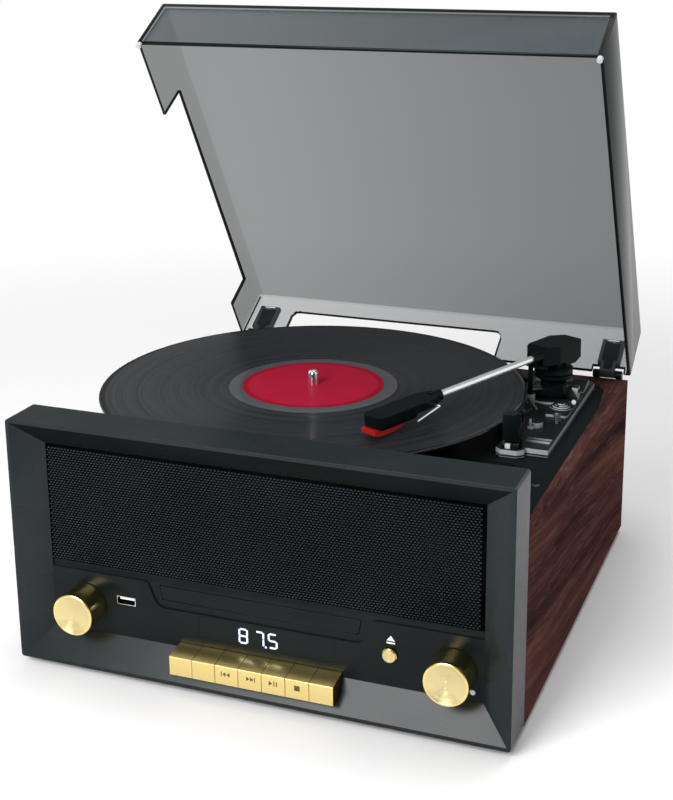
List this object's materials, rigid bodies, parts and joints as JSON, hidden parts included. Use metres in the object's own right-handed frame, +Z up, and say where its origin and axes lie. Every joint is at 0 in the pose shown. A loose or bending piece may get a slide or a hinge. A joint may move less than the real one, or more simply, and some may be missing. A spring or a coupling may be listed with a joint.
{
  "type": "stereo music centre",
  "caption": "Compact music centre: record deck with tonearm under a hinged smoked lid, wooden cabinet, bevelled front with grille, disc drawer, display, knobs and keys.",
  "frame": {"origin": "middle of the whole part seen from above, on the floor under its feet, with the lid open", "axes": "+X to the right seen from the front, +Y to the back, +Z up"},
  "size_m": [0.3518, 0.3811, 0.4068],
  "materials": {
    "rosewood": "oiled veneer with a front-to-back grain",
    "board": "raw board",
    "black_rubber": "matt",
    "gunmetal": "satin dark grey paint",
    "panel_black": "satin",
    "grille_black": "matt",
    "window_black": "polished",
    "deck_black": "satin",
    "arm_black": "satin",
    "gold_metal": "gold anodised, spun",
    "gold_plated": "gold plated",
    "bright_steel": "polished",
    "plain_steel": "plain",
    "dark_steel": "satin black",
    "circuit_board": "solder mask",
    "speaker_black": "matt",
    "bearing_brass": "turned",
    "platter_metal": "black, turned",
    "felt": "felt",
    "vinyl": "grooved, glossy",
    "label_red": "printed paper",
    "stylus_red": "moulded",
    "smoked_acrylic": "polished smoked acrylic",
    "clear_rubber": "translucent"
  },
  "bodies": {
    "housing": {"cabinet": "rosewood", "bottom_panel": "board", "rubber_feet": "black_rubber", "front_bezel": "gunmetal", "control_panel": "panel_black", "speaker_grille": "grille_black", "display_window": "window_black", "usb_socket": "bright_steel", "baffle_board": "board", "speakers": "speaker_black", "front_board": "circuit_board", "rotary_controls": "plain_steel", "cd_chassis": "plain_steel", "main_board": "circuit_board", "socket_plate": "deck_black", "turntable_deck": "deck_black", "deck_screws": "dark_steel", "platter_bearing": "bearing_brass", "turntable_motor": "plain_steel", "drive_belt": "black_rubber", "tonearm_base": "deck_black", "pivot_column": "arm_black", "arm_rest": "arm_black", "return_spring": "dark_steel", "hinge_brackets": "arm_black", "hinge_pins": "bright_steel"},
    "lid": {"lid": "smoked_acrylic", "lid_bumpers": "clear_rubber", "hinge_leaves": "arm_black"},
    "turntable": {"platter": "platter_metal", "spindle": "bright_steel", "slipmat": "felt", "record": "vinyl", "record_label": "label_red"},
    "pulley": {"motor_pulley": "bearing_brass"},
    "arm_swivel": {"arm_yoke": "dark_steel"},
    "tonearm": {"arm_block": "arm_black", "arm_tube": "bright_steel", "headshell": "arm_black", "cartridge": "arm_black", "stylus": "stylus_red", "finger_lift": "bright_steel"},
    "cue_lever": {"cue_lever": "arm_black"},
    "cue_platform": {"cue_platform": "arm_black"},
    "arm_clip": {"arm_clip": "arm_black"},
    "speed_switch": {"speed_switch": "bright_steel"},
    "tuning": {"tuning_knob": "gold_metal", "tuning_shaft": "plain_steel"},
    "volume": {"volume_knob": "gold_metal", "volume_shaft": "plain_steel"},
    "eject_button": {"eject_button": "gold_plated"},
    "disc_drawer": {"cd_tray": "panel_black", "cd_drawer_front": "panel_black"},
    "key_1": {"key_1": "gold_plated"},
    "key_2": {"key_2": "gold_plated"},
    "key_3": {"key_3": "gold_plated"},
    "key_4": {"key_4": "gold_plated"},
    "key_5": {"key_5": "gold_plated"},
    "key_6": {"key_6": "gold_plated"},
    "key_7": {"key_7": "gold_plated"}
  },
  "joints": [
    {"name": "lid_hinge", "type": "hinge", "parent": "housing", "child": "lid", "pos_m": [0.011, 0.151, 0.1279], "axis": [-1, 0, 0], "range_deg": [-58.8, 0]},
    {"name": "platter_spin", "type": "hinge", "parent": "housing", "child": "turntable", "pos_m": [-0.025, 0.008, 0.13], "axis": [0, 0, 1], "continuous": true},
    {"name": "pulley_spin", "type": "hinge", "parent": "housing", "child": "pulley", "pos_m": [-0.08037, -0.06547, 0.129], "axis": [0, 0, 1], "continuous": true},
    {"name": "arm_swing", "type": "hinge", "parent": "housing", "child": "arm_swivel", "pos_m": [0.13, 0.091, 0.15], "axis": [0, 0, 1], "range_deg": [-18, 25]},
    {"name": "arm_lift", "type": "hinge", "parent": "arm_swivel", "child": "tonearm", "pos_m": [0.13, 0.091, 0.161], "axis": [-0.9063, 0.4226, 0], "range_deg": [0, 3]},
    {"name": "cue_lever_turn", "type": "hinge", "parent": "housing", "child": "cue_lever", "pos_m": [0.145, 0.082, 0.1355], "axis": [-1, 0, 0], "range_deg": [0, 35]},
    {"name": "cue_platform_rise", "type": "slide", "parent": "housing", "child": "cue_platform", "axis": [0, 0, 1], "range_m": [0, 0.0013]},
    {"name": "clip_turn", "type": "hinge", "parent": "housing", "child": "arm_clip", "pos_m": [0.1354, -0.0245, 0.14987], "axis": [0, 1, 0], "range_deg": [-55, 15]},
    {"name": "speed_switch_turn", "type": "hinge", "parent": "housing", "child": "speed_switch", "pos_m": [0.1325, -0.028, 0.129], "axis": [0, 0, 1], "range_deg": [-12, 12]},
    {"name": "tuning_turn", "type": "hinge", "parent": "housing", "child": "tuning", "pos_m": [-0.108, -0.184, 0.0443], "axis": [0, 1, 0], "continuous": true},
    {"name": "volume_turn", "type": "hinge", "parent": "housing", "child": "volume", "pos_m": [0.1365, -0.184, 0.0443], "axis": [0, 1, 0], "range_deg": [-150, 150]},
    {"name": "eject_press", "type": "slide", "parent": "housing", "child": "eject_button", "axis": [0, 1, 0], "range_m": [0, 0.0012], "stiffness_N_per_m": 400, "springref_m": -0.0005},
    {"name": "drawer_slide", "type": "slide", "parent": "housing", "child": "disc_drawer", "axis": [0, -1, 0], "range_m": [0, 0.143]},
    {"name": "key_1_press", "type": "slide", "parent": "housing", "child": "key_1", "axis": [0, 1, 0], "range_m": [0, 0.0015], "stiffness_N_per_m": 400, "springref_m": -0.0005},
    {"name": "key_2_press", "type": "slide", "parent": "housing", "child": "key_2", "axis": [0, 1, 0], "range_m": [0, 0.0015], "stiffness_N_per_m": 400, "springref_m": -0.0005},
    {"name": "key_3_press", "type": "slide", "parent": "housing", "child": "key_3", "axis": [0, 1, 0], "range_m": [0, 0.0015], "stiffness_N_per_m": 400, "springref_m": -0.0005},
    {"name": "key_4_press", "type": "slide", "parent": "housing", "child": "key_4", "axis": [0, 1, 0], "range_m": [0, 0.0015], "stiffness_N_per_m": 400, "springref_m": -0.0005},
    {"name": "key_5_press", "type": "slide", "parent": "housing", "child": "key_5", "axis": [0, 1, 0], "range_m": [0, 0.0015], "stiffness_N_per_m": 400, "springref_m": -0.0005},
    {"name": "key_6_press", "type": "slide", "parent": "housing", "child": "key_6", "axis": [0, 1, 0], "range_m": [0, 0.0015], "stiffness_N_per_m": 400, "springref_m": -0.0005},
    {"name": "key_7_press", "type": "slide", "parent": "housing", "child": "key_7", "axis": [0, 1, 0], "range_m": [0, 0.0015], "stiffness_N_per_m": 400, "springref_m": -0.0005}
  ],
  "couplings": [
    {"joint": "pulley_spin", "follows": "platter_spin", "ratio": 11.539},
    {"joint": "arm_lift", "follows": "cue_lever_turn", "ratio": 0.085714},
    {"joint": "cue_platform_rise", "follows": "cue_lever_turn", "m_per_rad": 0.002015}
  ]
}
